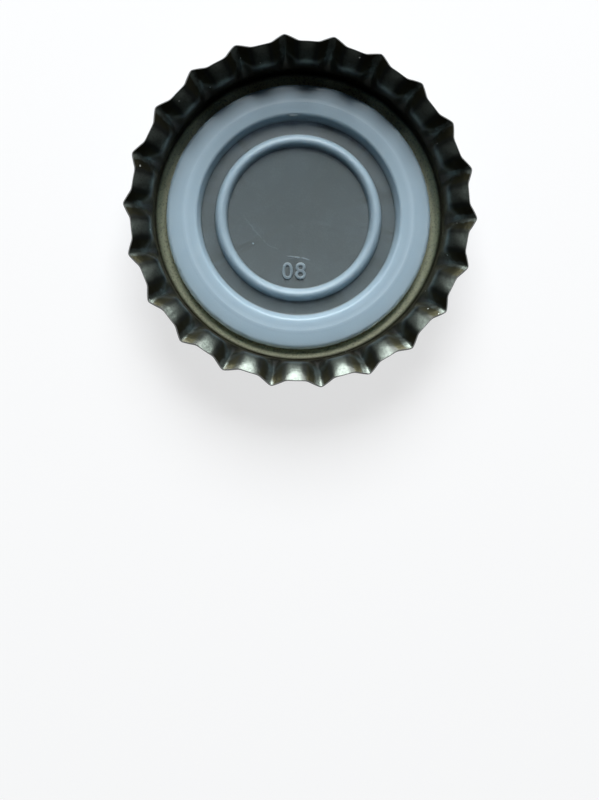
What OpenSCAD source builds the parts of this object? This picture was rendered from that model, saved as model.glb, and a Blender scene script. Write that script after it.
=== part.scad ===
// Crown bottle cap, lying on its painted panel with the mouth up.
// Two pieces: a shell pressed from tinplate, and a plastic sealing liner moulded inside it.
// The origin is the centre of the panel's outer face. +Z points out of the mouth.

/* [Pressed shell] */
// Diameter across the tips of the teeth, at the rim
tip_d = 32.1; // [30.5:0.05:33.5]
// Height from the panel's outer face to the rim
cap_h = 6; // [5.2:0.05:7]
// Inside diameter of the plain wall, just past the corner
wall_inner_d = 26.9; // [25.5:0.05:27.5]
// Thickness of the tinplate
metal_t = 0.235; // [0.18:0.005:0.3]
// Outer radius of the corner between the panel and the wall
corner_r = 1.9; // [1.4:0.05:2]
// Outward lean of the plain wall, in degrees
wall_lean = 3.4; // [0:0.2:6]

/* [Crimped teeth] */
// Number of teeth round the skirt
tooth_count = 22; // [18:1:26]
// Turn of the first tooth from +X, in degrees
tooth_turn = 14.2; // [0:0.1:20]
// Depth of a valley below the tips, at the rim
tooth_depth = 0.65; // [0.3:0.05:0.9]
// How much shorter the drawn-out tips are than the valleys
tip_drop = 0.15; // [0:0.05:0.4]
// Height of the plain wall's end, where the teeth start to stand out
tooth_start_z = 2.1; // [2.05:0.05:2.6]
// Height over which a valley curls outwards, up to the rim
curl_rise = 1.2; // [0.8:0.05:1.8]
// Rounding of the fold where that curl starts
curl_bend = 0.25; // [0.1:0.05:0.4]
// Power of the curve that a crest follows outwards
crest_power = 1.3; // [1.1:0.1:2]
// Power of the curve that a valley follows outwards
curl_power = 1.4; // [1.2:0.1:2]
// Share of both curves that turns out only just below the rim
lip_share = 0.13; // [0:0.01:0.25]
// Width of a tooth's flat top where it starts, as a share of the pitch
root_share = 0.21; // [0.14:0.01:0.3]
// Width of a tooth's flat top at the rim, as a share of the pitch
tip_share = 0.05; // [0.02:0.01:0.1]
// Rounding of a tooth's tip, as a share of half the pitch
tip_round = 0.055; // [0.03:0.005:0.1]
// Rounding of the edges of that flat top, as a share of the tooth's height
crest_round = 0.05; // [0.02:0.01:0.1]
// Width of a valley's round bowl at its fold, as a share of the pitch
fold_bowl = 0.6; // [0.5:0.01:0.66]
// Width of that bowl halfway up the curl, as a share of the pitch
middle_bowl = 0.7; // [0.55:0.01:0.76]
// Width of that bowl at the rim, as a share of the pitch
rim_bowl = 0.56; // [0.4:0.01:0.66]
// Roundness of the bowl at its fold: small is a flat with round corners, 0.5 is an arc
fold_bend = 0.11; // [0.08:0.01:0.2]
// Roundness of the bowl halfway up the curl
middle_bend = 0.42; // [0.3:0.01:0.5]
// Roundness of the bowl at the rim
rim_bend = 0.38; // [0.25:0.01:0.5]

/* [Sealing liner] */
// Gap in plan between the liner's edge and the plain wall
edge_gap = 1.08; // [0.9:0.01:1.6]
// Gap between the liner's edge and the metal of the corner below it
edge_lift = 0.03; // [0.01:0.01:0.08]
// Thickness of the thin film in the middle
film_t = 0.25; // [0.15:0.05:0.4]
// Thickness of the sealing band
band_t = 1.4; // [1.1:0.02:1.7]
// Width of the sealing band, between its two edges
band_w = 2.84; // [2.4:0.01:3.1]
// Taper of the band's outer side, in plan
edge_taper = 0.14; // [0.04:0.02:0.3]
// Drop of the band's top from its highest part to its outer edge
edge_drop = 0.24; // [0.1:0.02:0.3]
// Width of the band's top from its inner edge to its highest part
lip_w = 0.32; // [0.26:0.02:0.44]
// Drop of the band's top from there to its inner edge
lip_drop = 0.02; // [0.01:0.005:0.05]
// Distance from the band's inner edge to the crest of its low rib
rib_run = 1.12; // [1.06:0.02:1.3]
// Width of the rib
rib_w = 0.56; // [0.4:0.02:0.6]
// Height of the rib
rib_h = 0.04; // [0.02:0.01:0.06]
// Drop of the band's top from its highest part to the rib's foot
rib_drop = 0.055; // [0.045:0.005:0.1]
// Width in plan of the slope from the band down to the film
slope_w = 0.45; // [0.3:0.05:0.6]
// Diameter of the sealing bead, along its crest
bead_d = 14.46; // [13:0.02:15]
// Width of the bead at its foot
bead_w = 1.22; // [1.1:0.02:1.4]
// Height of the bead above the film
bead_h = 0.7; // [0.4:0.05:1]
// Height of the small step at each foot of the bead
step_h = 0.13; // [0.08:0.01:0.2]
// Width of that step
step_w = 0.06; // [0.04:0.01:0.1]
// Rounding of the band's outer edge
edge_round = 0.2; // [0.1:0.02:0.3]
// Rounding of the band's inner edge
lip_round = 0.16; // [0.1:0.02:0.2]
// Rounding of the liner's hollow corners
foot_round = 0.08; // [0.04:0.02:0.12]

/* [Hidden] */

// Steps round a turned shape, round one tooth, from a tooth's start to the rim, and over the bead
$fn = 96;
steps_per_tooth = 13;
skirt_steps = 8;
bead_steps = 12;
// The rings of the skirt stand closer together near its start
ring_spacing = 1.2;
// The skirt's lower edge is a wedge inside the plain wall, and laps over the wall's end by a hair
wedge_h = 0.15;
wedge_inset = 0.08;
foot_lap = 0.006;
wall_end_gap = 0.05;
// Short step that measures the skirt's slope
probe = 0.001;

// Power of the part of both curves that turns out just below the rim
lip_power = 5;

wall_r = wall_inner_d / 2 + metal_t;
panel_r = wall_r - corner_r / cos(wall_lean);
wall_t = metal_t / cos(wall_lean);
tip_r = tip_d / 2;
valley_r = tip_r - tooth_depth;
// The sheet leans out at the rim, so its inner face ends higher than its outer face
rim_steepness = (1 - lip_share) * curl_power + lip_share * lip_power;
rim_slope = tan(wall_lean) + (valley_r - wall_at(cap_h)) * rim_steepness / curl_rise;
outer_rim_z = cap_h - metal_t * sin(atan(rim_slope));
tip_z = outer_rim_z - tip_drop;
curl_z = outer_rim_z - curl_rise;
curl_start = soft_rise(tooth_start_z - curl_z, curl_bend);
curl_end = soft_rise(outer_rim_z - curl_z, curl_bend);
foot_z = tooth_start_z - 2 * wall_end_gap;
wall_end_z = tooth_start_z - wall_end_gap;
pitch = 360 / tooth_count;
around = tooth_count * steps_per_tooth;

function mix(a, b, t) = a + (b - a) * t;
function polar(r, angle) = [r * cos(angle), r * sin(angle)];

// 0 below zero and x above it, with a round bend between them
function soft_rise(x, bend) = (x + sqrt(x * x + bend * bend)) / 2;

// ---- Pressed shell ----

// Outer radius of the plain wall, and of its straight continuation, at height z
function wall_at(z) = wall_r + (z - corner_r) * tan(wall_lean);

// How far up a valley's curl a height lies: 0 where it still stands upright, 1 at the rim
function curl_at(z) = (soft_rise(z - curl_z, curl_bend) - curl_start) / (curl_end - curl_start);

// A curve outwards from 0 to 1 that turns out a little more just below the rim
function flare(rise, power) =
    let (t = max(0, rise))
    mix(pow(t, power), pow(t, lip_power), lip_share);
function crest_at(z) =
    wall_at(z) + (tip_r - wall_at(tip_z))
        * flare((z - tooth_start_z) / (tip_z - tooth_start_z), crest_power);
function valley_at(z) =
    wall_at(z) + (valley_r - wall_at(outer_rim_z)) * flare(curl_at(z), curl_power);

// A smooth curve through three values: at the fold, halfway up the curl and at the rim
function along(t, fold, middle, rim) =
    fold * (1 - t) * (1 - 2 * t) + 4 * middle * t * (1 - t) + rim * t * (2 * t - 1);

// A round bowl in the valley, then a straight flank up to 1 at the edge of the tooth's flat top
function tooth_ramp(from_crest, flat, bowl, bend) =
    let (
        from_valley = max(0, 1 - sqrt(from_crest * from_crest + tip_round * tip_round)),
        slope = 1 / (1 - flat - bowl * (1 - bend)),
        ramp = from_valley < bowl
            ? slope * bowl * bend * pow(from_valley / bowl, 1 / bend)
            : slope * (from_valley - bowl * (1 - bend))
    )
    ramp - soft_rise(ramp - 1, crest_round);

// Section across the teeth: 1 on a crest and 0 in the middle of a valley
function tooth_shape(angle, curl) =
    let (
        from_crest = abs(angle / pitch - round(angle / pitch)) * 2,
        flat = mix(root_share, tip_share, curl),
        bowl = along(curl, fold_bowl, middle_bowl, rim_bowl),
        bend = along(curl, fold_bend, middle_bend, rim_bend),
        ground = tooth_ramp(1, flat, bowl, bend)
    )
    (tooth_ramp(from_crest, flat, bowl, bend) - ground)
        / (tooth_ramp(0, flat, bowl, bend) - ground);

// Point of the skirt's outer face. s runs from 0, where the teeth start, to 1 at the rim.
function skirt_point(angle, s) =
    let (
        crest_z = mix(tooth_start_z, tip_z, s),
        valley_z = mix(tooth_start_z, outer_rim_z, s),
        k = tooth_shape(angle, curl_at(valley_z))
    )
    concat(
        polar(mix(valley_at(valley_z), crest_at(crest_z), k), angle),
        mix(valley_z, crest_z, k)
    );

// Outward direction of that face, square to two short steps along it
function skirt_normal(angle, s) =
    let (n = cross(
        skirt_point(angle + probe, s) - skirt_point(angle - probe, s),
        skirt_point(angle, s + probe) - skirt_point(angle, s - probe)
    ))
    n / norm(n);

// Point of the tinplate at the skirt's start, inset from the wall's face on that side
function wall_metal(angle, z, depth, inset) =
    concat(polar(wall_at(z) - mix(inset, wall_t - inset, depth / metal_t), angle), z);

// Ring of the skirt's points, depth below its outer face: the wedge that is let into the plain
// wall, the foot that laps over the wall, then the steps up to the rim
function skirt_ring(step, depth) =
    [
        for (i = [0:around - 1])
            let (angle = 360 * i / around, s = pow((step - 1) / skirt_steps, ring_spacing))
            step == 0 ? wall_metal(angle, foot_z - wedge_h, depth, wedge_inset)
                : step == 1 ? wall_metal(angle, foot_z, depth, -foot_lap)
                : skirt_point(angle, s) - skirt_normal(angle, s) * depth
    ];

// The crimped skirt: rings of points up its outside and back down its inside, joined ring to ring
module crimped_skirt() {
    rings = concat(
        [for (step = [0:skirt_steps + 1]) skirt_ring(step, 0)],
        [for (step = [skirt_steps + 1:-1:0]) skirt_ring(step, metal_t)]
    );
    faces = [
        for (ring = [0:len(rings) - 1], i = [0:around - 1])
            let (
                a = ring * around,
                b = (ring + 1) % len(rings) * around,
                next = (i + 1) % around
            )
            each [[a + i, b + i, b + next], [a + i, b + next, a + next]]
    ];
    polyhedron(points = [for (ring = rings) each ring], faces = faces, convexity = 12);
}

// Half section of the space inside a face that lies inset below the cup's outer face
module cup_section(inset, top) {
    r = corner_r - inset;
    bend_end = corner_r - r * sin(wall_lean);
    translate([0, inset])
        square([panel_r, bend_end - inset]);
    translate([panel_r, corner_r])
        intersection() {
            circle(r = r);
            translate([0, -r])
                square([r, bend_end - inset]);
        }
    polygon([
        [0, bend_end],
        [panel_r + r * cos(wall_lean), bend_end],
        [wall_at(top) - inset / cos(wall_lean), top],
        [0, top]
    ]);
}

// Panel, corner and plain wall
module drawn_cup() {
    rotate_extrude()
        difference() {
            cup_section(0, wall_end_z);
            cup_section(metal_t, cap_h);
        }
}

module crown_shell() {
    color("lightsteelblue") {
        drawn_cup();
        rotate(tooth_turn)
            crimped_skirt();
    }
}

// ---- Sealing liner ----

liner_r = wall_inner_d / 2 - edge_gap;
band_inner_r = liner_r - band_w;
lip_r = band_inner_r + lip_w;
rib_r = band_inner_r + rib_run;
bead_r = bead_d / 2;
bead_foot = bead_w / 2;
seat_z = metal_t;
film_z = seat_z + film_t;
band_z = seat_z + band_t;
rib_foot_z = band_z - rib_drop;
step_z = film_z + step_h;
// How far the liner reaches over the corner, and how far the metal has risen there
overhang = max(0, liner_r - panel_r);
inner_bend = corner_r - metal_t;
corner_rise = inner_bend - sqrt(inner_bend * inner_bend - overhang * overhang);

// Points of an arc of radius r that rounds the corner b between a and c
function rounded_corner(a, b, c, r, steps = 8) =
    let (
        u = (a - b) / norm(a - b),
        v = (c - b) / norm(c - b),
        half = acos(u * v) / 2,
        centre = b + (u + v) / norm(u + v) * r / sin(half),
        p = b + u * r / tan(half) - centre,
        q = b + v * r / tan(half) - centre,
        start = atan2(p.y, p.x),
        turn = (atan2(q.y, q.x) - start + 540) % 360 - 180
    )
    [for (i = [0:steps]) centre + polar(r, start + turn * i / steps)];

// Outline through corners given as [x, y, rounding]
function rounded_outline(corners) =
    let (n = len(corners), xy = [for (p = corners) [p.x, p.y]])
    [
        for (i = [0:n - 1])
            each corners[i].z > 0
                ? rounded_corner(xy[(i + n - 1) % n], xy[i], xy[(i + 1) % n], corners[i].z)
                : [xy[i]]
    ];

// The bead's round back, from its outer side to its inner side, as corners of the outline
function bead_back() =
    [
        for (i = [0:bead_steps])
            let (angle = mix(8, 172, i / bead_steps))
            [
                bead_r + (bead_foot - step_w) * cos(angle),
                step_z + (bead_h - step_h) * pow(sin(angle), 1.25),
                0
            ]
    ];

module sealing_liner() {
    color("aliceblue")
        rotate_extrude()
            polygon(rounded_outline(concat(
                [
                    [0, seat_z, 0],
                    [min(panel_r, liner_r), seat_z, 0],
                    [liner_r, seat_z + corner_rise + edge_lift, 0],
                    [liner_r - edge_taper, band_z - edge_drop, edge_round],
                    [rib_r + rib_w / 2, rib_foot_z, rib_w / 2],
                    [rib_r, rib_foot_z + rib_h, rib_w / 2],
                    [rib_r - rib_w / 2, rib_foot_z, rib_w / 2],
                    [lip_r, band_z, rib_w / 2],
                    [band_inner_r, band_z - lip_drop, lip_round],
                    [band_inner_r - slope_w, film_z, foot_round],
                    [bead_r + bead_foot, film_z, step_w],
                    [bead_r + bead_foot - step_w / 3, step_z, step_w / 3]
                ],
                bead_back(),
                [
                    [bead_r - bead_foot + step_w / 3, step_z, step_w / 3],
                    [bead_r - bead_foot, film_z, step_w],
                    [0, film_z, 0]
                ]
            )));
}

crown_shell();
sealing_liner();
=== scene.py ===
# %% [markdown]
# # A crown bottle cap
# A crown cap is two pieces. A disc of tinplate is pressed into a shallow cup, and the edge of its
# wall is crimped into teeth. A soft plastic liner is moulded in the floor of the cup, where it
# seals the bottle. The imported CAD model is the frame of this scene: it says how large each piece
# is and where it lies, and nothing here moves or resizes it.

# %% Load the frame
import math

import bmesh
import bpy
from mathutils import Matrix, Vector, noise


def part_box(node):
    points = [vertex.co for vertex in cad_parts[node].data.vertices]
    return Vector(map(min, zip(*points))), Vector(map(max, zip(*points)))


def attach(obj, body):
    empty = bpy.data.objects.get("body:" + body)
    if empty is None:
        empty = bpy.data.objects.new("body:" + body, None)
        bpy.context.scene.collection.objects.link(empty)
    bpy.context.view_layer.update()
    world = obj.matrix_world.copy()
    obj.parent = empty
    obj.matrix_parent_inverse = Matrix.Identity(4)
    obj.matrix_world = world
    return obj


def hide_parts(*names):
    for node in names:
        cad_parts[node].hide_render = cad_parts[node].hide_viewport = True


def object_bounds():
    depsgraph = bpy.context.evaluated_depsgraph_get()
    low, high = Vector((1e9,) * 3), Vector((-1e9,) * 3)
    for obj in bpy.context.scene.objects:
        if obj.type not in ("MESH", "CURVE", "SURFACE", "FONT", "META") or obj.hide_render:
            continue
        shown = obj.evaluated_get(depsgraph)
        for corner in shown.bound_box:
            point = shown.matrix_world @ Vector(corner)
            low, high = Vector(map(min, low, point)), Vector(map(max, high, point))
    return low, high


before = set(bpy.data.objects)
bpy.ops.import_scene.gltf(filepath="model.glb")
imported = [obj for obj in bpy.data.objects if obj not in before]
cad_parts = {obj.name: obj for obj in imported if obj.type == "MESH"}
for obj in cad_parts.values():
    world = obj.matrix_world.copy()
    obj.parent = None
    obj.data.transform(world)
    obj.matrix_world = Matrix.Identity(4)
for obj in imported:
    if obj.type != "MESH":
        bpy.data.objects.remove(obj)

cad_low, cad_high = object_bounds()
MM = 0.001
print("cap:", [round(x / MM, 2) for x in cad_high - cad_low], "mm, nodes:", sorted(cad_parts))

# %% [markdown]
# ## The camera
# The cap lies mouth up, and the camera looks down on it from 138 mm, as a phone held over
# a table does. At that distance the rim is a little nearer than the floor, so the floor of the cup
# looks smaller and shifts towards the point right under the lens. The lens follows from the width
# of the table that the picture takes in: it is the sensor's width times the distance, over
# that width.

# %% Place the camera
PICTURE_SIZE = (599, 800)
PIXELS_PER_MM = 11.1
RIM_CENTRE_PIXEL = (301.0, 210.2)
LENS_FOOT_PIXEL = (235, 400)
RIM_DISTANCE = 138 * MM
SENSOR_WIDTH = 36
CLIP_NEAR = 10 * MM
CLIP_FAR = 10

rim_z = cad_high.z


def pixel_to_rim(pixel):
    """The point of the rim's plane that a pixel of the picture shows."""
    across = (pixel[0] - RIM_CENTRE_PIXEL[0]) / PIXELS_PER_MM * MM
    up = (RIM_CENTRE_PIXEL[1] - pixel[1]) / PIXELS_PER_MM * MM
    return Vector((across, up, rim_z))


def add_camera():
    """A camera over LENS_FOOT_PIXEL that is aimed at the middle of the picture."""
    data = bpy.data.cameras.new("camera")
    camera = bpy.data.objects.new("camera", data)
    bpy.context.scene.collection.objects.link(camera)
    camera.location = pixel_to_rim(LENS_FOOT_PIXEL) + Vector((0, 0, RIM_DISTANCE))
    backward = camera.location - pixel_to_rim((PICTURE_SIZE[0] / 2, PICTURE_SIZE[1] / 2))
    across = Vector((0, 1, 0)).cross(backward).normalized()
    up = backward.cross(across).normalized()
    camera.rotation_euler = Matrix((across, up, backward.normalized())).transposed().to_euler()
    data.sensor_width = SENSOR_WIDTH
    data.lens = SENSOR_WIDTH * RIM_DISTANCE / (max(PICTURE_SIZE) / PIXELS_PER_MM * MM)
    data.clip_start, data.clip_end = CLIP_NEAR, CLIP_FAR
    bpy.context.scene.camera = camera
    return camera


camera = add_camera()
print("lens:", round(camera.data.lens, 1), "mm")

# %% [markdown]
# ## Helpers for meshes
# Each piece starts as a bmesh, and its object stays at the origin with its place in its mesh.
# Faces that meet at a small angle are shaded as one smooth surface, and the others keep a crisp
# edge, as a pressed or moulded piece has.

# %% Mesh helpers
MERGE_DISTANCE = 0.0005 * MM


def finish_piece(name, mesh_builder, sharp_angle):
    """Turns a bmesh into an object at the origin that shades smoothly up to sharp_angle."""
    mesh = bpy.data.meshes.new(name)
    mesh_builder.to_mesh(mesh)
    mesh_builder.free()
    piece = bpy.data.objects.new(name, mesh)
    bpy.context.scene.collection.objects.link(piece)
    shade_smooth(mesh, sharp_angle)
    return piece


def shade_smooth(mesh, sharp_angle):
    """Smooth shading with crisp edges where faces meet at more than sharp_angle degrees."""
    mesh.polygons.foreach_set("use_smooth", [True] * len(mesh.polygons))
    mesh.set_sharp_from_angle(angle=math.radians(sharp_angle))
    mesh.update()


def chain(mesh_builder, section):
    """A chain of edges through the (radius, height) points of a section, in the XZ plane."""
    points = [mesh_builder.verts.new((radius, 0, height)) for radius, height in section]
    edges = [mesh_builder.edges.new(pair) for pair in zip(points, points[1:])]
    return points + edges


def turn(mesh_builder, geometry, columns):
    """Turns edges a full circle about the cap's axis, and closes the seam and the pole."""
    bmesh.ops.spin(
        mesh_builder, geom=geometry, cent=(0, 0, 0), axis=(0, 0, 1), dvec=(0, 0, 0),
        angle=2 * math.pi, steps=columns, use_merge=True, use_duplicate=False,
    )
    bmesh.ops.remove_doubles(mesh_builder, verts=mesh_builder.verts, dist=MERGE_DISTANCE)


# %% [markdown]
# ## The pressed shell
# The real shell is one sheet. Its panel, corner and plain wall are round, so they are a section
# that is turned about the axis. From the wall's end the press crimps the sheet into teeth: crests
# that fan out to the full diameter, and broad valleys between them that stay nearly upright and
# then curl out at the rim. No press is perfect, so the teeth drift a little round the cap, and
# smooth noise gives them shallow dents. One way is to model a tooth and repeat it, but then the
# drift would break its seams. So the skirt is pulled up from the wall ring by ring, and each new
# ring is set on that form. Only the outer face is drawn. The sheet's thickness comes last.

# %% Sizes of the shell
shell_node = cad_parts["crown_shell"]
TIP_R = max(math.hypot(v.co.x, v.co.y) for v in shell_node.data.vertices)
CAP_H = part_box("crown_shell")[1].z
METAL_T = 0.235 * MM
WALL_R = 26.9 * MM / 2 + METAL_T
CORNER_R = 1.9 * MM
WALL_LEAN = math.tan(math.radians(3.4))
PANEL_R = WALL_R - CORNER_R * math.hypot(1, WALL_LEAN)
TOOTH_COUNT = 22
TOOTH_TURN = math.radians(14.2)
PITCH = 2 * math.pi / TOOTH_COUNT
VALLEY_R = TIP_R - 0.65 * MM
TOOTH_START_Z = 2.1 * MM
CREST_POWER = 1.3
CURL_RISE = 1.0 * MM
CURL_BEND = 0.25 * MM
CURL_POWER = 1.15
VALLEY_LIP_POWER = 5
CREST_LIP_POWER = 12
VALLEY_LIP = 0.25
CREST_LIP = 0.25
RIM_LEAN = math.radians(66)
OUTER_RIM_Z = CAP_H - METAL_T * math.sin(RIM_LEAN)
TIP_Z = OUTER_RIM_Z - 0.15 * MM
ROOT_FLAT = 0.26
TIP_FLAT = 0.05
TIP_ROUND = 0.055
CREST_ROUND = 0.05
BOWL_SPANS = (0.58, 0.55, 0.5)
BOWL_BENDS = (0.12, 0.5, 0.2)
PITCH_DRIFT = math.radians(0.65)
DRIFT_TURN = math.radians(268)
DENT_DEPTH = 0.07 * MM
DENT_SIZE = 2.6 * MM
print("teeth reach", round(TIP_R / MM, 2), "mm, rim at", round(CAP_H / MM, 2), "mm")


# %% Curves
def mix(a, b, share):
    """The value that lies share of the way from a to b."""
    return a + (b - a) * share


def soft_rise(x, bend):
    """0 below zero and x above it, with a round bend between them."""
    return (x + math.hypot(x, bend)) / 2


def along(rise, stops):
    """A smooth curve through three values: at the fold, halfway up the curl and at the rim."""
    fold, middle, rim = stops
    near_fold = fold * (1 - rise) * (1 - 2 * rise)
    near_rim = rim * rise * (2 * rise - 1)
    return near_fold + 4 * middle * rise * (1 - rise) + near_rim


def flare(rise, power, lip, lip_power):
    """A curve outwards from 0 to 1, of which a share lip turns out only just below the rim."""
    return mix(rise**power, rise**lip_power, lip)


# %% Form of the crimped skirt, from the wall to the rim
def wall_at(z):
    """Outer radius of the plain wall, and of its straight continuation, at height z."""
    return WALL_R + (z - CORNER_R) * WALL_LEAN


def curl_rise(z):
    """How far up a valley's curl a height lies: 0 where it still stands upright, 1 at the rim."""
    curl_z = OUTER_RIM_Z - CURL_RISE
    start, end = (soft_rise(height - curl_z, CURL_BEND) for height in (TOOTH_START_Z, OUTER_RIM_Z))
    return (soft_rise(z - curl_z, CURL_BEND) - start) / (end - start)


def crest_at(z):
    """Outer radius along the middle of a tooth."""
    rise = max(0, z - TOOTH_START_Z) / (TIP_Z - TOOTH_START_Z)
    return wall_at(z) + (TIP_R - wall_at(TIP_Z)) * flare(
        rise, CREST_POWER, CREST_LIP, CREST_LIP_POWER
    )


def valley_at(z):
    """Outer radius along the middle of a valley."""
    reach = VALLEY_R - wall_at(OUTER_RIM_Z)
    return wall_at(z) + reach * flare(curl_rise(z), CURL_POWER, VALLEY_LIP, VALLEY_LIP_POWER)


# %% Section across the teeth
def tooth_ramp(from_crest, flat, bowl, bend):
    """A round bowl in the valley, then a straight flank up to 1 at the edge of the tooth's flat."""
    from_valley = max(0, 1 - math.hypot(from_crest, TIP_ROUND))
    slope = 1 / (1 - flat - bowl * (1 - bend))
    if from_valley < bowl:
        ramp = slope * bowl * bend * (from_valley / bowl) ** (1 / bend)
    else:
        ramp = slope * (from_valley - bowl * (1 - bend))
    return ramp - soft_rise(ramp - 1, CREST_ROUND)


def tooth_shape(angle, curl, s):
    """Section across the teeth: 1 on a crest and 0 in the middle of a valley."""
    from_crest = abs(angle / PITCH - round(angle / PITCH)) * 2
    flat = mix(TIP_FLAT, ROOT_FLAT, (1 - s) ** 3)
    bowl, bend = along(curl, BOWL_SPANS), along(curl, BOWL_BENDS)
    ground, top = (tooth_ramp(x, flat, bowl, bend) for x in (1, 0))
    return (tooth_ramp(from_crest, flat, bowl, bend) - ground) / (top - ground)


def skirt_point(angle, s):
    """A point of the skirt's outer face, from s = 0 where the teeth start to s = 1 at the rim."""
    crest_z = mix(TOOTH_START_Z, TIP_Z, s)
    valley_z = mix(TOOTH_START_Z, OUTER_RIM_Z, s)
    drift = PITCH_DRIFT * math.cos(angle - DRIFT_TURN)
    share = tooth_shape(angle - TOOTH_TURN - drift, curl_rise(valley_z), s)
    radius = mix(valley_at(valley_z), crest_at(crest_z), share)
    z = mix(valley_z, crest_z, share)
    point = Vector((radius * math.cos(angle), radius * math.sin(angle), z))
    dent = max(0, noise.noise(point / DENT_SIZE)) * DENT_DEPTH * s
    return point - Vector((point.x, point.y, 0)).normalized() * dent


# %% Turn the cup and pull up the skirt
COLUMNS_PER_TOOTH = 36
SHELL_COLUMNS = TOOTH_COUNT * COLUMNS_PER_TOOTH
PANEL_RINGS = (0, 0.3, 0.6, 0.85, 0.95)
CORNER_STEPS = 10
SKIRT_RINGS = 24


def cup_section():
    """Radius and height along the outer face, from the panel's centre to the wall's end."""
    panel = [(PANEL_R * share, 0) for share in PANEL_RINGS]
    wall_angle = math.pi / 2 - math.atan(WALL_LEAN)
    corner = [
        (PANEL_R + CORNER_R * math.sin(a), CORNER_R - CORNER_R * math.cos(a))
        for a in (wall_angle * step / CORNER_STEPS for step in range(CORNER_STEPS + 1))
    ]
    return panel + corner + [(wall_at(TOOTH_START_Z), TOOTH_START_Z)]


def build_shell_face():
    """The outer face of the whole shell, as one sheet without thickness."""
    sheet = bmesh.new()
    turn(sheet, chain(sheet, cup_section()), SHELL_COLUMNS)
    edge_ring = [edge for edge in sheet.edges if edge.is_boundary]
    for ring in range(1, SKIRT_RINGS + 1):
        pulled = bmesh.ops.extrude_edge_only(sheet, edges=edge_ring)["geom"]
        for vert in (item for item in pulled if isinstance(item, bmesh.types.BMVert)):
            angle = math.atan2(vert.co.y, vert.co.x)
            vert.co = skirt_point(angle, ring / SKIRT_RINGS)
        edge_ring = [
            item for item in pulled if isinstance(item, bmesh.types.BMEdge) and item.is_boundary
        ]
    bmesh.ops.recalc_face_normals(sheet, faces=sheet.faces)
    lowest = min(sheet.faces, key=lambda face: face.calc_center_median().z)
    if lowest.normal.z > 0:
        bmesh.ops.reverse_faces(sheet, faces=sheet.faces)
    return sheet


# %% Give the sheet its thickness
SHELL_SHARP = 60


def thicken(piece, thickness, inner_slot, rim_slot, sharp_angle):
    """Gives a sheet its thickness, inwards from its outer face, and keeps the result."""
    solidify = piece.modifiers.new("thickness", "SOLIDIFY")
    solidify.thickness = thickness
    solidify.offset = -1
    solidify.use_even_offset = True
    solidify.material_offset = inner_slot
    solidify.material_offset_rim = rim_slot
    depsgraph = bpy.context.evaluated_depsgraph_get()
    solid = bpy.data.meshes.new_from_object(piece.evaluated_get(depsgraph))
    piece.modifiers.clear()
    piece.data = solid
    shade_smooth(solid, sharp_angle)


shell = finish_piece("crown_shell_pressed", build_shell_face(), SHELL_SHARP)
for name in ("outer_paint", "inner_lacquer", "cut_edge"):
    shell.data.materials.append(bpy.data.materials.new(name))
thicken(shell, METAL_T, 1, 2, SHELL_SHARP)
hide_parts("crown_shell")
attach(shell, "root")
print("shell:", len(shell.data.polygons), "faces")

# %% [markdown]
# ## The sealing liner
# The liner is moulded in place, so its section is a set of flats and slopes whose corners are
# all a little round. The section is drawn flat, its corners are rounded with a vertex bevel, and
# it is then turned about the axis.

# %% Sizes of the liner
liner_low, liner_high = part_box("sealing_liner")
LINER_R = liner_high.x
SEAT_Z = liner_low.z
BAND_Z = liner_high.z
FILM_Z = SEAT_Z + 0.13 * MM
EDGE_TAPER = 0.07 * MM
EDGE_DROP = 0.08 * MM
EDGE_ROUND = 0.38 * MM
RIB_R = 10.65 * MM
RIB_W = 0.7 * MM
RIB_H = 0.03 * MM
LIP_DROP = 0.07 * MM
BAND_INNER_R = 9.53 * MM
LIP_ROUND = 0.3 * MM
SLOPE_W = 0.45 * MM
BEAD_R = 7.23 * MM
BEAD_W = 1.22 * MM
BEAD_H = 0.78 * MM
BEAD_STEP = 0.1 * MM
BEAD_POWER = 1.3
STEP_W = 0.06 * MM
FOOT_ROUND = 0.08 * MM
EDGE_LIFT = 0.03 * MM
print("liner:", round(LINER_R / MM, 2), "mm radius, band top at", round(BAND_Z / MM, 3), "mm")


# %% Section of the liner
BEAD_STEPS = 24
BEAD_ARC_START = 0.04
BEAD_ARC_SPAN = 0.92


def bead_arc():
    """The bead's bell-shaped back, from its outer side to its inner side, as section corners."""
    half_w = BEAD_W / 2 - STEP_W
    rise = BEAD_H - BEAD_STEP
    shares = (BEAD_ARC_START + BEAD_ARC_SPAN * step / BEAD_STEPS for step in range(BEAD_STEPS + 1))
    angles = (math.pi * share for share in shares)
    return [
        (BEAD_R + half_w * math.cos(a), FILM_Z + BEAD_STEP + rise * math.sin(a) ** BEAD_POWER, 0)
        for a in angles
    ]


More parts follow.
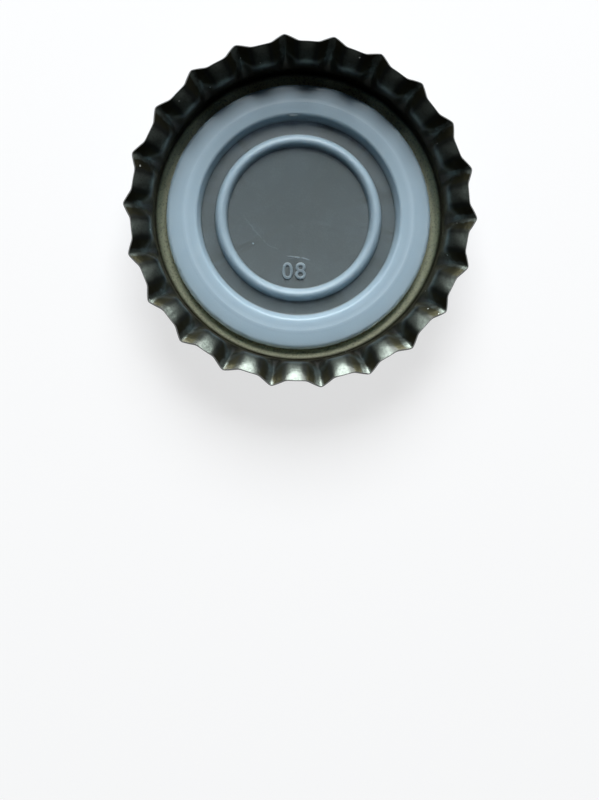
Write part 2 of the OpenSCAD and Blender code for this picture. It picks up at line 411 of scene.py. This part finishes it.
def liner_corners():
    """The section's corners as (radius, height, rounding), anticlockwise from the axis."""
    inner_bend = CORNER_R - METAL_T
    overhang = max(0, LINER_R - PANEL_R)
    corner_rise = inner_bend - math.sqrt(inner_bend**2 - overhang**2)
    rib_foot_z = BAND_Z - RIB_H
    return [
        (0, SEAT_Z, 0),
        (PANEL_R, SEAT_Z, 0),
        (LINER_R, SEAT_Z + corner_rise + EDGE_LIFT, 0),
        (LINER_R - EDGE_TAPER, BAND_Z - EDGE_DROP, EDGE_ROUND),
        (RIB_R + RIB_W / 2, rib_foot_z, RIB_W / 2),
        (RIB_R, BAND_Z, RIB_W / 4),
        (RIB_R - RIB_W / 2, rib_foot_z, RIB_W / 2),
        (BAND_INNER_R, BAND_Z - LIP_DROP, LIP_ROUND),
        (BAND_INNER_R - SLOPE_W, FILM_Z, FOOT_ROUND),
        (BEAD_R + BEAD_W / 2, FILM_Z, STEP_W),
        (BEAD_R + BEAD_W / 2 - STEP_W / 3, FILM_Z + BEAD_STEP, STEP_W / 2),
        *bead_arc(),
        (BEAD_R - BEAD_W / 2 + STEP_W / 3, FILM_Z + BEAD_STEP, STEP_W / 2),
        (BEAD_R - BEAD_W / 2, FILM_Z, STEP_W),
        (0, FILM_Z, 0),
    ]


# %% Round the section and turn it
LINER_COLUMNS = 360
CORNER_SEGMENTS = 6
ON_AXIS = 1e-9


def round_corner(section, vert, radius):
    """Rounds one corner of a flat section with an arc of the given radius."""
    ways = [(edge.other_vert(vert).co - vert.co).normalized() for edge in vert.link_edges]
    half_angle = ways[0].angle(ways[1]) / 2
    bmesh.ops.bevel(
        section, geom=[vert], offset=radius / math.tan(half_angle), offset_type="OFFSET",
        affect="VERTICES", segments=CORNER_SEGMENTS, profile=0.5, material=-1, clamp_overlap=True,
    )


def build_liner():
    """The liner's solid: a flat section with rounded corners, turned about the axis."""
    section = bmesh.new()
    corners = liner_corners()
    verts = [section.verts.new((radius, 0, height)) for radius, height, _ in corners]
    section.faces.new(verts)
    for vert, (_, _, rounding) in zip(verts, corners):
        if rounding:
            round_corner(section, vert, rounding)
    bmesh.ops.delete(section, geom=section.faces[:], context="FACES_ONLY")
    on_axis = [edge for edge in section.edges if all(v.co.x < ON_AXIS for v in edge.verts)]
    bmesh.ops.delete(section, geom=on_axis, context="EDGES")
    turn(section, section.verts[:] + section.edges[:], LINER_COLUMNS)
    bmesh.ops.recalc_face_normals(section, faces=section.faces)
    return section


# %% Nick the edge and finish the liner
NICK_ZONE = 0.3 * MM
NICK_SIZE = 0.35 * MM
NICK_DEPTH = 0.09 * MM
MOULDED_SHARP = 40


def nick_edge(solid):
    """Small uneven nicks along the band's outer edge, where the plastic was trimmed."""
    for vert in solid.verts:
        radius = math.hypot(vert.co.x, vert.co.y)
        if radius > LINER_R - NICK_ZONE and vert.co.z > FILM_Z:
            nick = max(0, noise.noise(vert.co / NICK_SIZE)) * NICK_DEPTH
            vert.co -= Vector((vert.co.x, vert.co.y, 0)) / radius * nick


liner_solid = build_liner()
nick_edge(liner_solid)
liner = finish_piece("sealing_liner_moulded", liner_solid, MOULDED_SHARP)
liner.data.materials.append(bpy.data.materials.new("milky_plastic"))
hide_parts("sealing_liner")
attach(liner, "root")
print("liner:", len(liner.data.polygons), "faces")

# %% [markdown]
# ## Marks of the mould
# Each cavity of a liner mould has its number cut in its floor, so the number stands a little proud
# of the film. It is text with rounded edges that is made a mesh. Where the plastic was cut off as
# it was let into the mould, a small nub is left on the band's inner edge. That is a flattened ball
# that is half sunk, because only its top is ever seen.

# %% Cavity number
NUMBER = "08"
NUMBER_H = 1.58 * MM
NUMBER_PLACE = Vector((-0.42 * MM, -5.08 * MM, FILM_Z))
NUMBER_RISE = 0.13 * MM
NUMBER_BEVEL = 0.06 * MM
DIGIT_SHARE = 0.73
DIGIT_SPACING = 1.12
STROKE_TRIM = -0.02 * MM


def raise_number():
    """The number as a closed mesh, of which a part is let into the film."""
    curve = bpy.data.curves.new("cavity_number", "FONT")
    curve.body = NUMBER
    curve.align_x, curve.align_y = "CENTER", "CENTER"
    curve.size = NUMBER_H / DIGIT_SHARE
    curve.space_character = DIGIT_SPACING
    curve.offset = STROKE_TRIM
    curve.extrude = NUMBER_RISE - NUMBER_BEVEL
    curve.bevel_depth = NUMBER_BEVEL
    curve.bevel_resolution = 3
    text = bpy.data.objects.new("cavity_text", curve)
    bpy.context.scene.collection.objects.link(text)
    depsgraph = bpy.context.evaluated_depsgraph_get()
    flat = bpy.data.meshes.new_from_object(text.evaluated_get(depsgraph))
    bpy.data.objects.remove(text)
    digits = bmesh.new()
    digits.from_mesh(flat)
    bmesh.ops.remove_doubles(digits, verts=digits.verts, dist=MERGE_DISTANCE)
    bmesh.ops.translate(digits, verts=digits.verts, vec=NUMBER_PLACE)
    bmesh.ops.recalc_face_normals(digits, faces=digits.faces)
    return digits


number = finish_piece("cavity_number", raise_number(), MOULDED_SHARP)
number.data.materials.append(bpy.data.materials["milky_plastic"])
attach(number, "root")
print("number:", len(number.data.polygons), "faces")

# %% Gate nub
NUB_TURN = math.radians(93.2)
NUB_SIZE = (0.36 * MM, 1.0 * MM, 0.3 * MM)
NUB_R = BAND_INNER_R - 0.03 * MM
NUB_Z = BAND_Z - 0.3 * MM


def build_nub():
    """A flattened ball, half sunk in the band's inner edge."""
    nub = bmesh.new()
    bmesh.ops.create_uvsphere(nub, u_segments=32, v_segments=16, radius=0.5)
    bmesh.ops.scale(nub, verts=nub.verts, vec=NUB_SIZE)
    bmesh.ops.translate(nub, verts=nub.verts, vec=(NUB_R, 0, NUB_Z))
    bmesh.ops.rotate(nub, verts=nub.verts, cent=(0, 0, 0), matrix=Matrix.Rotation(NUB_TURN, 3, "Z"))
    return nub


nub = finish_piece("gate_nub", build_nub(), MOULDED_SHARP)
nub.data.materials.append(bpy.data.materials["milky_plastic"])
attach(nub, "root")
print("nub:", len(nub.data.polygons), "faces")

# %% [markdown]
# ## Shader graphs as expressions
# A finish is a graph of shader nodes, and written out node by node it is hard to read. Here an
# output of a node is wrapped in a small class that knows arithmetic, so that 1 - mask or
# height * 2 adds the Math nodes by itself. Every other node comes from one method.

# %% Arithmetic on a shader's outputs
class Signal:
    """An output of a shader node. Arithmetic on it adds Math nodes."""

    def __init__(self, graph, output):
        self.graph = graph
        self.output = output

    def math(self, operation, first, second):
        """One Math node, of which each side is a signal or a number."""
        sockets = {0: first, 1: second}
        return self.graph.node("ShaderNodeMath", {"operation": operation}, sockets)["Value"]

    def __add__(self, other):
        return self.math("ADD", self, other)

    def __radd__(self, other):
        return self.math("ADD", other, self)

    def __sub__(self, other):
        return self.math("SUBTRACT", self, other)

    def __rsub__(self, other):
        return self.math("SUBTRACT", other, self)

    def __mul__(self, other):
        return self.math("MULTIPLY", self, other)

    def __rmul__(self, other):
        return self.math("MULTIPLY", other, self)

    def __pow__(self, other):
        return self.math("POWER", self, other)


# %% Nodes of a material
class Graph:
    """The nodes of one material, or of the world."""

    def __init__(self, tree):
        self.tree = tree

    def fill(self, node, sockets):
        """Sets a node's input sockets, by name or number, to values or signals."""
        for key, value in sockets.items():
            named = [socket for socket in node.inputs if socket.enabled and socket.name == key]
            socket = named[0] if named else node.inputs[key]
            if isinstance(value, Signal):
                self.tree.links.new(value.output, socket)
            else:
                socket.default_value = value

    def node(self, kind, settings, sockets):
        """Adds a node, with its settings set first, and returns its outputs by name."""
        node = self.tree.nodes.new(kind)
        for name, value in settings.items():
            setattr(node, name, value)
        self.fill(node, sockets)
        return {socket.name: Signal(self, socket) for socket in node.outputs if socket.enabled}

    def blend(self, share, first, second):
        """The colour that lies share of the way from first to second."""
        sockets = {"Factor": share, "A": first, "B": second}
        return self.node("ShaderNodeMix", {"data_type": "RGBA"}, sockets)["Result"]

    def step(self, value, low, high):
        """Rises smoothly from 0 to 1 as value goes from low to high."""
        settings = {"interpolation_type": "SMOOTHSTEP"}
        sockets = {"Value": value, "From Min": low, "From Max": high}
        return self.node("ShaderNodeMapRange", settings, sockets)["Result"]

    def noise(self, place, size, detail=2, roughness=0.5):
        """Cloudy noise around 0.5, whose lumps are about size across."""
        sockets = {"Vector": place, "Scale": 1 / size, "Detail": detail, "Roughness": roughness}
        return self.node("ShaderNodeTexNoise", {}, sockets)["Fac"]

    def place(self):
        """Where on the piece a point lies, in metres."""
        return self.node("ShaderNodeTexCoord", {}, {})["Object"]


# %% Colours and materials
def srgb(red, green, blue):
    """A colour that is given as it is seen on a screen, from 0 to 255, as shaders need it."""
    seen = (channel / 255 for channel in (red, green, blue))
    return tuple(c / 12.92 if c <= 0.04045 else ((c + 0.055) / 1.055) ** 2.4 for c in seen) + (1,)


def begin_finish(name, **uniform):
    """A material's graph and its main shader, whose named sockets get uniform values."""
    material = bpy.data.materials.get(name) or bpy.data.materials.new(name)
    material.use_nodes = True
    graph = Graph(material.node_tree)
    shader = material.node_tree.nodes["Principled BSDF"]
    graph.fill(shader, {key.replace("_", " "): value for key, value in uniform.items()})
    return graph, shader


def report_finish(name):
    """Prints how many nodes a finish took."""
    print(name + ":", len(bpy.data.materials[name].node_tree.nodes), "nodes")


# %% [markdown]
# ## Paint on the outside
# The outside is white-blue enamel, stoved on the flat sheet before it was pressed. It is glossy
# and slightly uneven, and it has small dark chips and hair-thin scratches where the steel shows.
# At the rim the paint is worn through. Each kind of mark is a Voronoi pattern of which only a few
# cells are kept: that gives separate marks, where plain noise would give clouds.

# %% Marks of wear
def speckles(graph, place, spacing, size, kept, stretch=(1, 1, 1), turn_z=0.0):
    """A mask of small marks about size across, one in every kept-th part of the cells."""
    settings = {"vector_type": "POINT"}
    sockets = {"Vector": place, "Rotation": (0, 0, turn_z), "Scale": stretch}
    turned = graph.node("ShaderNodeMapping", settings, sockets)["Vector"]
    cells = graph.node(
        "ShaderNodeTexVoronoi", {"feature": "F1"}, {"Vector": turned, "Scale": 1 / spacing}
    )
    chance = graph.node("ShaderNodeSeparateColor", {}, {"Color": cells["Color"]})["Red"]
    is_kept = graph.step(chance, 1 - kept, 1 - kept + 0.02)
    ragged = cells["Distance"] + (graph.noise(place, size * 0.6) - 0.5) * (size / spacing)
    return is_kept * (1 - graph.step(ragged, size / spacing * 0.45, size / spacing * 0.6))


def either(first, second):
    """A mask of what is in one of two masks, or in both."""
    return 1 - (1 - first) * (1 - second)


def bump_normal(graph, height, distance):
    """A normal that is tilted by a height, of which 1 stands distance proud."""
    sockets = {"Height": height, "Distance": distance, "Strength": 1.0}
    return graph.node("ShaderNodeBump", {}, sockets)["Normal"]


# %% Enamel
ENAMEL = srgb(122, 149, 175)
ENAMEL_LIGHT = srgb(136, 162, 186)
SCUFF = srgb(176, 192, 205)
CHIP = srgb(44, 46, 48)


def paint_outside():
    """Glossy enamel with chips, scuffs and hairs, and a rim that is worn bare."""
    graph, shader = begin_finish("outer_paint", IOR=1.5, Coat_Weight=0.4, Coat_Roughness=0.1)
    place = graph.place()
    height = graph.node("ShaderNodeSeparateXYZ", {}, {"Vector": place})["Z"]
    cloud = graph.noise(place, 1.6 * MM, 3)
    peel = graph.noise(place, 0.4 * MM, 2)
    shoulder = 1 - graph.step(height, 1.4 * MM, 2.6 * MM)
    chips = speckles(graph, place, 1.9 * MM, 0.3 * MM, 0.14) * shoulder
    nicks = speckles(graph, place, 3.4 * MM, 0.2 * MM, 0.25)
    ragged = height + (graph.noise(place, 0.5 * MM, 3) - 0.5) * (0.7 * MM)
    bare = either(either(chips, nicks), graph.step(ragged, CAP_H - 0.2 * MM, CAP_H - 0.1 * MM))
    upright = speckles(graph, place, 1.3 * MM, 0.07 * MM, 0.25, stretch=(1, 1, 0.12), turn_z=0.4)
    slanted = speckles(graph, place, 1.5 * MM, 0.07 * MM, 0.25, stretch=(0.1, 1, 1), turn_z=-0.6)
    hairs = speckles(graph, place, 1.8 * MM, 0.1 * MM, 0.12, stretch=(0.2, 1, 1), turn_z=0.9)
    scuffs = either(upright, slanted)
    mottled = graph.blend(graph.step(cloud, 0.3, 0.7), ENAMEL, ENAMEL_LIGHT)
    scuffed = graph.blend(scuffs * 0.6, mottled, SCUFF)
    relief = peel * 2 + cloud * 4 - bare * 4 - scuffs
    graph.fill(shader, {
        "Base Color": graph.blend(either(bare, hairs * 0.8), scuffed, CHIP),
        "Roughness": 0.24 + scuffs * 0.2 + bare * 0.3 + peel * 0.06,
        "Normal": bump_normal(graph, relief, 0.003 * MM),
    })


paint_outside()
report_finish("outer_paint")

# %% [markdown]
# ## Lacquer on the inside
# The inside is bare tinplate under a gold lacquer. Tinplate is a mirror with a fine grain, so the
# finish is metallic: what is seen in it is the light, the liner and the teeth across the cup. The
# lacquer is gold in the corner. Above it, the wall and the skirt up to the valleys' curl are a dark
# brown, which is painted shade for the shade and dark reflections there. The lacquer was stretched
# where the teeth were drawn, so their valleys are silvery; their sides are darkened as painted
# shade, and the flanks next to the crests are tinted olive. All of these follow the height and the
# angle round the cap, so no map has to be painted.

# %% Lacquered tinplate
GOLD = srgb(212, 213, 186)
# Dark brown for the wall: painted shade for its shade and dark reflections.
WALL_SHADE_BROWN = srgb(56, 47, 35)
SILVER = srgb(104, 112, 106)
OLIVE = srgb(60, 58, 40)
# Dark colour for painted shade on the sides of the teeth, also used for the grain's random mottle.
SHADE_AND_MOTTLE = srgb(56, 59, 55)
GLEAM = srgb(205, 210, 205)


def tooth_wave(graph, xyz):
    """1 along the crest of every tooth and -1 along every valley."""
    angle = graph.node("ShaderNodeMath", {"operation": "ARCTAN2"}, {0: xyz["Y"], 1: xyz["X"]})
    return angle["Value"].math("COSINE", (angle["Value"] - TOOTH_TURN) * TOOTH_COUNT, 0)


def lacquer_inside():
    """Metal from gold through brown painted shade to silvery teeth, with painted shade and olive on
    their sides.
    """
    graph, shader = begin_finish(
        "inner_lacquer", Metallic=1.0, Coat_Weight=0.2, Coat_Roughness=0.15
    )
    place = graph.place()
    grain = graph.noise(place, 0.22 * MM, 4, 0.7)
    ripple = graph.noise(place, 0.9 * MM, 2)
    xyz = graph.node("ShaderNodeSeparateXYZ", {}, {"Vector": place})
    height = xyz["Z"]
    # Painted shade: above the corner, the wall up to the valleys' curl turns from gold to dark
    # brown.
    wall_painted_shade = graph.step(height, 0.8 * MM, 1.35 * MM)
    drawn = graph.step(height, TOOTH_START_Z, TOOTH_START_Z + 0.8 * MM)
    curled = graph.step(height, 3.2 * MM, 4.8 * MM)
    wave = tooth_wave(graph, xyz) + (ripple - 0.5) * 0.5
    # Painted shade: every part of a tooth but the middle of its valley and its crest is darkened.
    side = graph.step(wave, -1.0, -0.25) - graph.step(wave, 0.8, 1.0)
    # The flanks next to the crests are tinted olive.
    olive_flanks = graph.step(wave, -0.2, 0.4) - graph.step(wave, 0.8, 1.0)
    skirt = graph.blend(olive_flanks * 0.8, graph.blend(side, SILVER, SHADE_AND_MOTTLE), OLIVE)
    colour = graph.blend(curled, graph.blend(wall_painted_shade, GOLD, WALL_SHADE_BROWN), skirt)
    stained = graph.blend(graph.step(grain, 0.45, 0.75) * 0.5, colour, SHADE_AND_MOTTLE)
    specks = speckles(graph, place, 0.9 * MM, 0.14 * MM, 0.2)
    graph.fill(shader, {
        "Base Color": graph.blend(specks, stained, GLEAM),
        "Roughness": 0.44 - wall_painted_shade * 0.16 + drawn * 0.1 + grain * 0.1 + specks * 0.2,
        "Normal": bump_normal(graph, ripple * 10 + grain * 4, 0.004 * MM),
    })


def finish_cut_edge():
    """Bare steel, where the disc was cut out."""
    begin_finish("cut_edge", Base_Color=srgb(104, 106, 104), Metallic=1.0, Roughness=0.4)


lacquer_inside()
finish_cut_edge()
report_finish("inner_lacquer")
report_finish("cut_edge")

# %% [markdown]
# ## The liner's plastic
# The plastic is milky and lets some light through. Where it is a thin film, the dark lacquer
# under it makes it grey, and where it is thick, it is a pale blue-white. A shader can't see what
# lies under a film, so the colour follows the height above the seat instead. Along the band's rib
# a paler ring is a painted highlight, where the rib catches the light, and the band darkens towards
# its outer edge. The film has fine scratches and one long one that runs in an arc.

# %% The long scratch
SCRATCH_CENTRE = (1.97 * MM, 4.23 * MM)
SCRATCH_R = 8.25 * MM
SCRATCH_SPAN = (math.radians(-152), math.radians(-95))


def arc_scratch(graph, xyz, cloud):
    """A mask of one long ragged scratch across the film, which is deepest at its last end."""
    across, up = xyz["X"] - SCRATCH_CENTRE[0], xyz["Y"] - SCRATCH_CENTRE[1]
    turn_at = graph.node("ShaderNodeMath", {"operation": "ARCTAN2"}, {0: up, 1: across})["Value"]
    start, end = SCRATCH_SPAN
    along = graph.step(turn_at, start, start + 0.1) * (1 - graph.step(turn_at, end - 0.05, end))
    depth = 0.2 + graph.step(turn_at, end - 0.35, end - 0.2) * 0.8
    off = (across * across + up * up) ** 0.5 - SCRATCH_R + (cloud - 0.5) * (0.9 * MM)
    width = off.math("ABSOLUTE", off, 0)
    ragged = graph.step(graph.noise(graph.place(), 0.5 * MM, 2), 0.35, 0.55)
    return along * depth * ragged * (1 - graph.step(width, 0.03 * MM, 0.09 * MM))


# %% Milky plastic
FILM_GREY = srgb(85, 96, 97)
MILKY = srgb(155, 177, 190)
# Pale blue-white for the painted highlight along the band's rib.
PALE = srgb(176, 196, 208)


def milk_the_liner():
    """Plastic that lets light in, grey where it is thin and pale where it is thick."""
    graph, shader = begin_finish(
        "milky_plastic", Roughness=0.36, IOR=1.5, Subsurface_Weight=0.9, Subsurface_Scale=1.6 * MM,
        Subsurface_Radius=(1.0, 1.0, 1.0),
    )
    place = graph.place()
    xyz = graph.node("ShaderNodeSeparateXYZ", {}, {"Vector": place})
    radius = (xyz["X"] * xyz["X"] + xyz["Y"] * xyz["Y"]) ** 0.5
    proud = graph.step(xyz["Z"], FILM_Z + 0.02 * MM, FILM_Z + 0.12 * MM)
    on_band = graph.step(radius, BEAD_R + BEAD_W, BAND_INNER_R)
    thick = graph.step(xyz["Z"], FILM_Z + 0.02 * MM, FILM_Z + 0.5 * MM) * (0.75 + on_band * 0.25)
    # Painted highlight: a paler ring along the rib, where the rib catches the light.
    ring_start = graph.step(radius, RIB_R - 0.5 * MM, RIB_R)
    painted_rib_highlight = ring_start - graph.step(radius, RIB_R, RIB_R + 0.3 * MM)
    # The band darkens towards its outer edge.
    outer_darkening = graph.step(radius, RIB_R + 0.4 * MM, LINER_R)
    cloud = graph.noise(place, 1.8 * MM, 3)
    grain = graph.noise(place, 0.16 * MM, 2)
    hairs = speckles(graph, place, 1.0 * MM, 0.08 * MM, 0.3, stretch=(0.08, 1, 1), turn_z=0.25)
    arcs = speckles(graph, place, 1.2 * MM, 0.08 * MM, 0.25, stretch=(0.12, 1, 1), turn_z=-0.8)
    specks = speckles(graph, place, 2.0 * MM, 0.14 * MM, 0.22)
    scratch = arc_scratch(graph, xyz, cloud)
    worn = hairs * 0.3 + arcs * 0.3 + specks * 0.9 + scratch * 0.4
    film = graph.blend(worn + proud * 0.4 + cloud * 0.12 + grain * 0.12 - 0.12, FILM_GREY, MILKY)
    body = graph.blend(thick - outer_darkening * 0.15 * thick, film, MILKY)
    relief = grain + cloud * 3 + hairs - arcs + scratch * 2
    graph.fill(shader, {
        "Base Color": graph.blend(painted_rib_highlight * 0.4, body, PALE),
        "Roughness": 0.38 + grain * 0.12,
        "Normal": bump_normal(graph, relief, 0.005 * MM),
    })


milk_the_liner()
report_finish("milky_plastic")

# %% [markdown]
# ## The floor and the light
# The cap lies on a plain white floor that reaches far, so that a low camera doesn't see its edge
# close by. A floor that is lit up to white would flood the cap with light from below, so the
# floor is a plain pale surface, and only the camera, gloss and clear plastic see it as white. One
# soft window lights the cap from beyond it, and a dim sky fills the shadows.

# %% Floor
FLOOR_REACH = 6
FLOOR_SHARP = 30
floor_builder = bmesh.new()
bmesh.ops.create_grid(floor_builder, x_segments=1, y_segments=1, size=FLOOR_REACH)
floor = finish_piece("floor", floor_builder, FLOOR_SHARP)
FLOOR_PALE = srgb(236, 238, 240)
GLOW_SHARE = 0.7


def whiten_floor():
    """A pale floor that looks nearly white to the camera, with the cap's shadow still on it."""
    graph, shader = begin_finish("floor_white", Base_Color=FLOOR_PALE, Roughness=0.9)
    floor.data.materials.append(bpy.data.materials["floor_white"])
    rays = graph.node("ShaderNodeLightPath", {}, {})
    seen = 1 - (1 - rays["Is Camera Ray"]) * (1 - rays["Is Glossy Ray"]) * (
        1 - rays["Is Transmission Ray"]
    )
    white = graph.node("ShaderNodeEmission", {}, {"Color": (1, 1, 1, 1), "Strength": 1})
    lit = Signal(graph, shader.outputs["BSDF"])
    sockets = {0: seen * GLOW_SHARE, 1: lit, 2: white["Emission"]}
    mixed = graph.node("ShaderNodeMixShader", {}, sockets)["Shader"]
    output = graph.tree.nodes["Material Output"]
    graph.fill(output, {"Surface": mixed})


whiten_floor()
report_finish("floor_white")


# %% Light
def add_area_light(name, direction, distance, size, power, colour):
    """A square soft light that stands off from the cap along direction, and faces it."""
    data = bpy.data.lights.new(name, "AREA")
    data.shape = "SQUARE"
    data.size = size
    data.energy = power
    data.color = colour
    lamp = bpy.data.objects.new(name, data)
    bpy.context.scene.collection.objects.link(lamp)
    lamp.location = Vector(direction).normalized() * distance
    lamp.rotation_euler = (-lamp.location).to_track_quat("-Z", "Y").to_euler()
    return lamp


WINDOW_HEIGHT = math.radians(41)
WINDOW_DISTANCE = 0.6
WINDOW_SIZE = 0.37
WINDOW_POWER = 6.3
WINDOW_COLOUR = (0.98, 0.99, 1)
window_way = (0, math.cos(WINDOW_HEIGHT), math.sin(WINDOW_HEIGHT))
window = add_area_light(
    "window", window_way, WINDOW_DISTANCE, WINDOW_SIZE, WINDOW_POWER, WINDOW_COLOUR
)
print("window:", window.data.energy, "W, at", [round(x, 3) for x in window.location], "m")

# %% Sky
SKY_BRIGHT = 0.12
SKY_DARK = 0.018
SKY_TURN = math.radians(55)
SKY_BLEND = 0.9
SKY_COLOUR = (0.92, 0.96, 1, 1)


def light_the_sky():
    """A dim sky that is brighter on the window's side."""
    world = bpy.data.worlds.new("studio")
    bpy.context.scene.world = world
    world.use_nodes = True
    graph = Graph(world.node_tree)
    way = graph.node("ShaderNodeTexCoord", {}, {})["Generated"]
    xyz = graph.node("ShaderNodeSeparateXYZ", {}, {"Vector": way})
    towards_window = xyz["X"] * math.cos(SKY_TURN) + xyz["Y"] * math.sin(SKY_TURN)
    strength = SKY_DARK + (SKY_BRIGHT - SKY_DARK) * graph.step(towards_window, 0.0, SKY_BLEND)
    background = world.node_tree.nodes["Background"]
    graph.fill(background, {"Color": SKY_COLOUR, "Strength": strength})


light_the_sky()
scene = bpy.context.scene
scene.view_settings.view_transform = "Standard"
